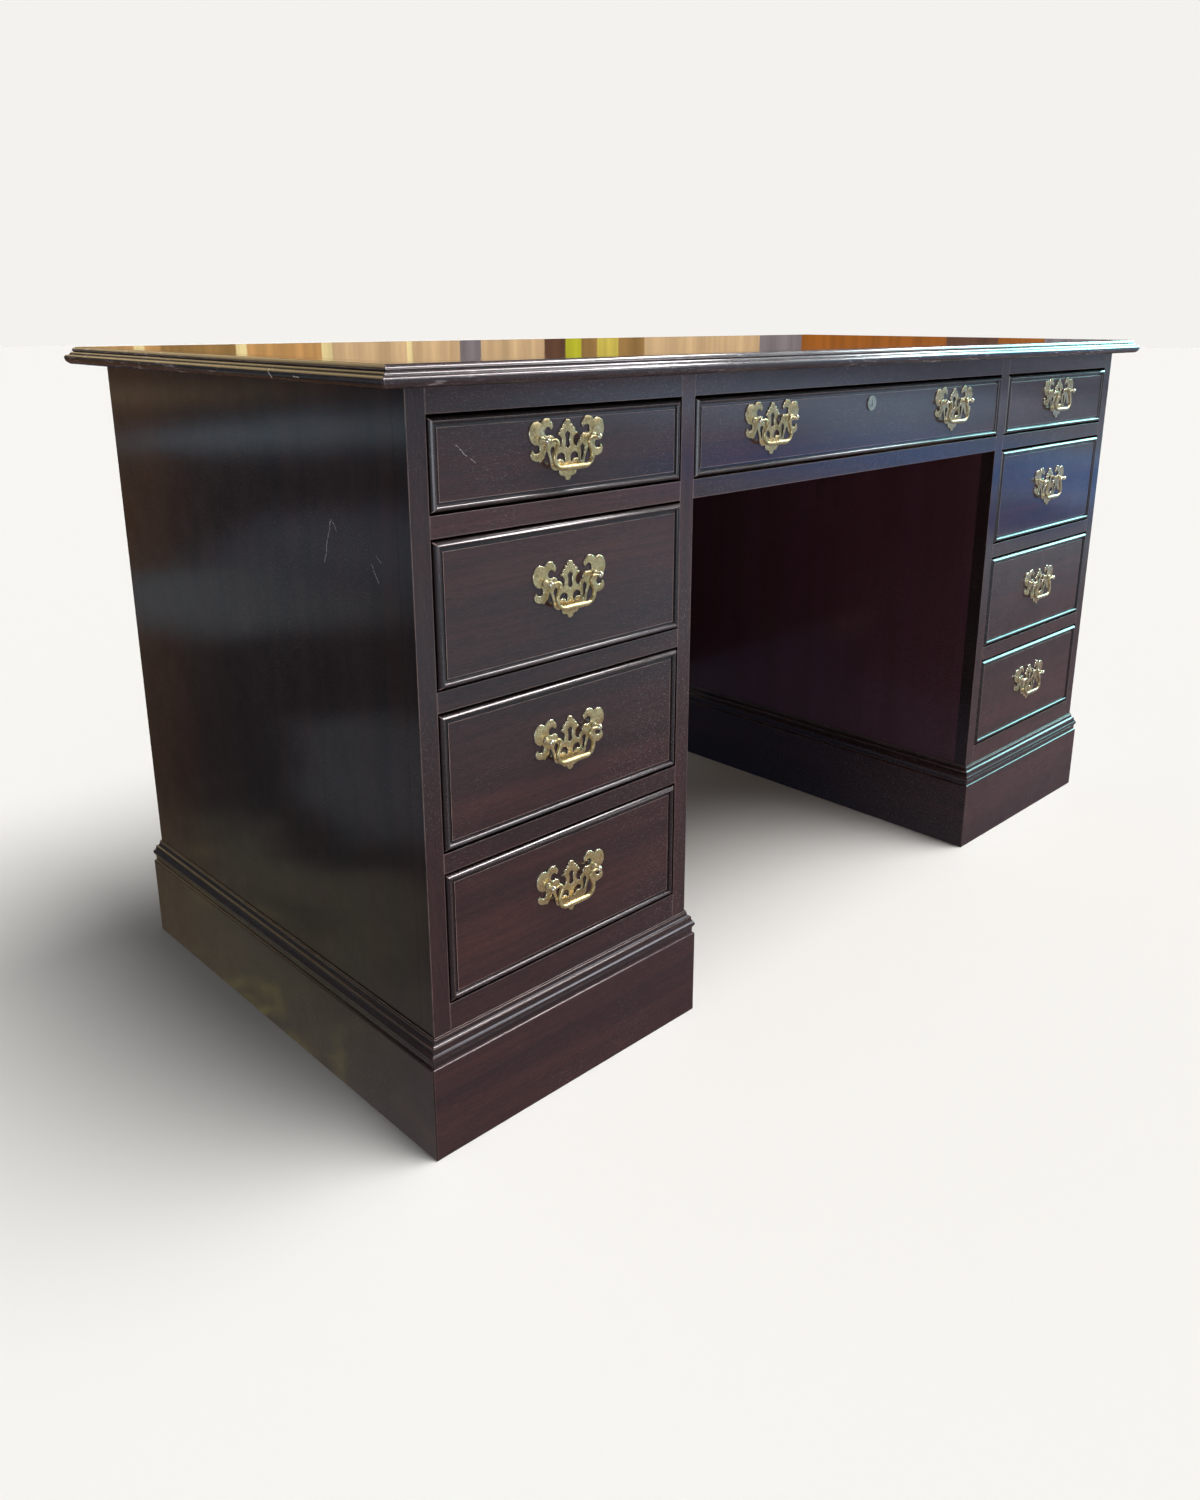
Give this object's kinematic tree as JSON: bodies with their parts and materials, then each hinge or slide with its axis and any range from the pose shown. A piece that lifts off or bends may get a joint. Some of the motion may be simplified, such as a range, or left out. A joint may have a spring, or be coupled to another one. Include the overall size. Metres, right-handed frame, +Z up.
{
  "type": "pedestal desk",
  "caption": "Double-pedestal kneehole writing desk with bead-edged drawers, pierced brass bail pulls, a lockable centre drawer and a moulded top.",
  "frame": {"origin": "on the floor, under the middle of the desk", "axes": "+X to the sitter's right along the length, -Y towards the sitter, +Z up"},
  "size_m": [1.423, 0.656, 0.756],
  "materials": {
    "mahogany": "gloss lacquer over dark stain",
    "secondary_wood": "bare planed",
    "brass": "satin antique, bright edges",
    "nickel": "polished nickel plate",
    "steel": "plain"
  },
  "bodies": {
    "desk": {"top_panel": "mahogany", "top_edge_moulding": "mahogany", "top_screws": "steel", "front_stiles": "mahogany", "centre_drawer_rails": "mahogany", "drawer_runners": "secondary_wood", "modesty_panel": "mahogany", "pedestal_backs": "secondary_wood", "pedestal_bottoms": "secondary_wood", "plinth_corner_blocks": "secondary_wood", "drawer_stops": "secondary_wood", "left_end_panel": "mahogany", "left_inner_side": "mahogany", "left_drawer_rails": "mahogany", "left_plinth": "mahogany", "left_base_moulding": "mahogany", "right_end_panel": "mahogany", "right_inner_side": "mahogany", "right_drawer_rails": "mahogany", "right_plinth": "mahogany", "right_base_moulding": "mahogany"},
    "left_drawer_1": {"left_drawer_1_front": "mahogany", "left_drawer_1_box": "secondary_wood", "left_drawer_1_pull_plate": "brass"},
    "left_drawer_1_bail": {"left_drawer_1_bail": "brass"},
    "left_drawer_2": {"left_drawer_2_front": "mahogany", "left_drawer_2_box": "secondary_wood", "left_drawer_2_pull_plate": "brass"},
    "left_drawer_2_bail": {"left_drawer_2_bail": "brass"},
    "left_drawer_3": {"left_drawer_3_front": "mahogany", "left_drawer_3_box": "secondary_wood", "left_drawer_3_pull_plate": "brass"},
    "left_drawer_3_bail": {"left_drawer_3_bail": "brass"},
    "left_drawer_4": {"left_drawer_4_front": "mahogany", "left_drawer_4_box": "secondary_wood", "left_drawer_4_pull_plate": "brass"},
    "left_drawer_4_bail": {"left_drawer_4_bail": "brass"},
    "right_drawer_1": {"right_drawer_1_front": "mahogany", "right_drawer_1_box": "secondary_wood", "right_drawer_1_pull_plate": "brass"},
    "right_drawer_1_bail": {"right_drawer_1_bail": "brass"},
    "right_drawer_2": {"right_drawer_2_front": "mahogany", "right_drawer_2_box": "secondary_wood", "right_drawer_2_pull_plate": "brass"},
    "right_drawer_2_bail": {"right_drawer_2_bail": "brass"},
    "right_drawer_3": {"right_drawer_3_front": "mahogany", "right_drawer_3_box": "secondary_wood", "right_drawer_3_pull_plate": "brass"},
    "right_drawer_3_bail": {"right_drawer_3_bail": "brass"},
    "right_drawer_4": {"right_drawer_4_front": "mahogany", "right_drawer_4_box": "secondary_wood", "right_drawer_4_pull_plate": "brass"},
    "right_drawer_4_bail": {"right_drawer_4_bail": "brass"},
    "centre_drawer": {"centre_drawer_front": "mahogany", "centre_drawer_box": "secondary_wood", "centre_drawer_pull_plate": "brass", "lock_housing": "nickel"},
    "centre_drawer_bail_left": {"centre_drawer_bail_left": "brass"},
    "centre_drawer_bail_right": {"centre_drawer_bail_right": "brass"},
    "lock_plug": {"lock_plug": "nickel"}
  },
  "joints": [
    {"name": "left_drawer_1_slide", "type": "slide", "parent": "desk", "child": "left_drawer_1", "axis": [0, -1, 0], "range_m": [0, 0.38]},
    {"name": "left_drawer_1_bail_hinge", "type": "hinge", "parent": "left_drawer_1", "child": "left_drawer_1_bail", "pos_m": [-0.497, -0.3105, 0.684], "axis": [-1, 0, 0], "range_deg": [-10, 180]},
    {"name": "left_drawer_2_slide", "type": "slide", "parent": "desk", "child": "left_drawer_2", "axis": [0, -1, 0], "range_m": [0, 0.38]},
    {"name": "left_drawer_2_bail_hinge", "type": "hinge", "parent": "left_drawer_2", "child": "left_drawer_2_bail", "pos_m": [-0.497, -0.3125, 0.552], "axis": [-1, 0, 0], "range_deg": [-10, 180]},
    {"name": "left_drawer_3_slide", "type": "slide", "parent": "desk", "child": "left_drawer_3", "axis": [0, -1, 0], "range_m": [0, 0.38]},
    {"name": "left_drawer_3_bail_hinge", "type": "hinge", "parent": "left_drawer_3", "child": "left_drawer_3_bail", "pos_m": [-0.497, -0.3105, 0.395], "axis": [-1, 0, 0], "range_deg": [-10, 180]},
    {"name": "left_drawer_4_slide", "type": "slide", "parent": "desk", "child": "left_drawer_4", "axis": [0, -1, 0], "range_m": [0, 0.38]},
    {"name": "left_drawer_4_bail_hinge", "type": "hinge", "parent": "left_drawer_4", "child": "left_drawer_4_bail", "pos_m": [-0.497, -0.3105, 0.238], "axis": [-1, 0, 0], "range_deg": [-10, 180]},
    {"name": "right_drawer_1_slide", "type": "slide", "parent": "desk", "child": "right_drawer_1", "axis": [0, -1, 0], "range_m": [0, 0.38]},
    {"name": "right_drawer_1_bail_hinge", "type": "hinge", "parent": "right_drawer_1", "child": "right_drawer_1_bail", "pos_m": [0.497, -0.3105, 0.684], "axis": [-1, 0, 0], "range_deg": [-10, 180]},
    {"name": "right_drawer_2_slide", "type": "slide", "parent": "desk", "child": "right_drawer_2", "axis": [0, -1, 0], "range_m": [0, 0.38]},
    {"name": "right_drawer_2_bail_hinge", "type": "hinge", "parent": "right_drawer_2", "child": "right_drawer_2_bail", "pos_m": [0.497, -0.3105, 0.552], "axis": [-1, 0, 0], "range_deg": [-10, 180]},
    {"name": "right_drawer_3_slide", "type": "slide", "parent": "desk", "child": "right_drawer_3", "axis": [0, -1, 0], "range_m": [0, 0.38]},
    {"name": "right_drawer_3_bail_hinge", "type": "hinge", "parent": "right_drawer_3", "child": "right_drawer_3_bail", "pos_m": [0.497, -0.3105, 0.395], "axis": [-1, 0, 0], "range_deg": [-10, 180]},
    {"name": "right_drawer_4_slide", "type": "slide", "parent": "desk", "child": "right_drawer_4", "axis": [0, -1, 0], "range_m": [0, 0.38]},
    {"name": "right_drawer_4_bail_hinge", "type": "hinge", "parent": "right_drawer_4", "child": "right_drawer_4_bail", "pos_m": [0.497, -0.3105, 0.238], "axis": [-1, 0, 0], "range_deg": [-10, 180]},
    {"name": "centre_drawer_slide", "type": "slide", "parent": "desk", "child": "centre_drawer", "axis": [0, -1, 0], "range_m": [0, 0.38]},
    {"name": "centre_drawer_bail_left_hinge", "type": "hinge", "parent": "centre_drawer", "child": "centre_drawer_bail_left", "pos_m": [-0.193, -0.3105, 0.684], "axis": [-1, 0, 0], "range_deg": [-10, 180]},
    {"name": "centre_drawer_bail_right_hinge", "type": "hinge", "parent": "centre_drawer", "child": "centre_drawer_bail_right", "pos_m": [0.193, -0.3105, 0.684], "axis": [-1, 0, 0], "range_deg": [-10, 180]},
    {"name": "lock_plug_turn", "type": "hinge", "parent": "centre_drawer", "child": "lock_plug", "pos_m": [0, -0.301, 0.691], "axis": [0, -1, 0], "range_deg": [0, 90]}
  ]
}
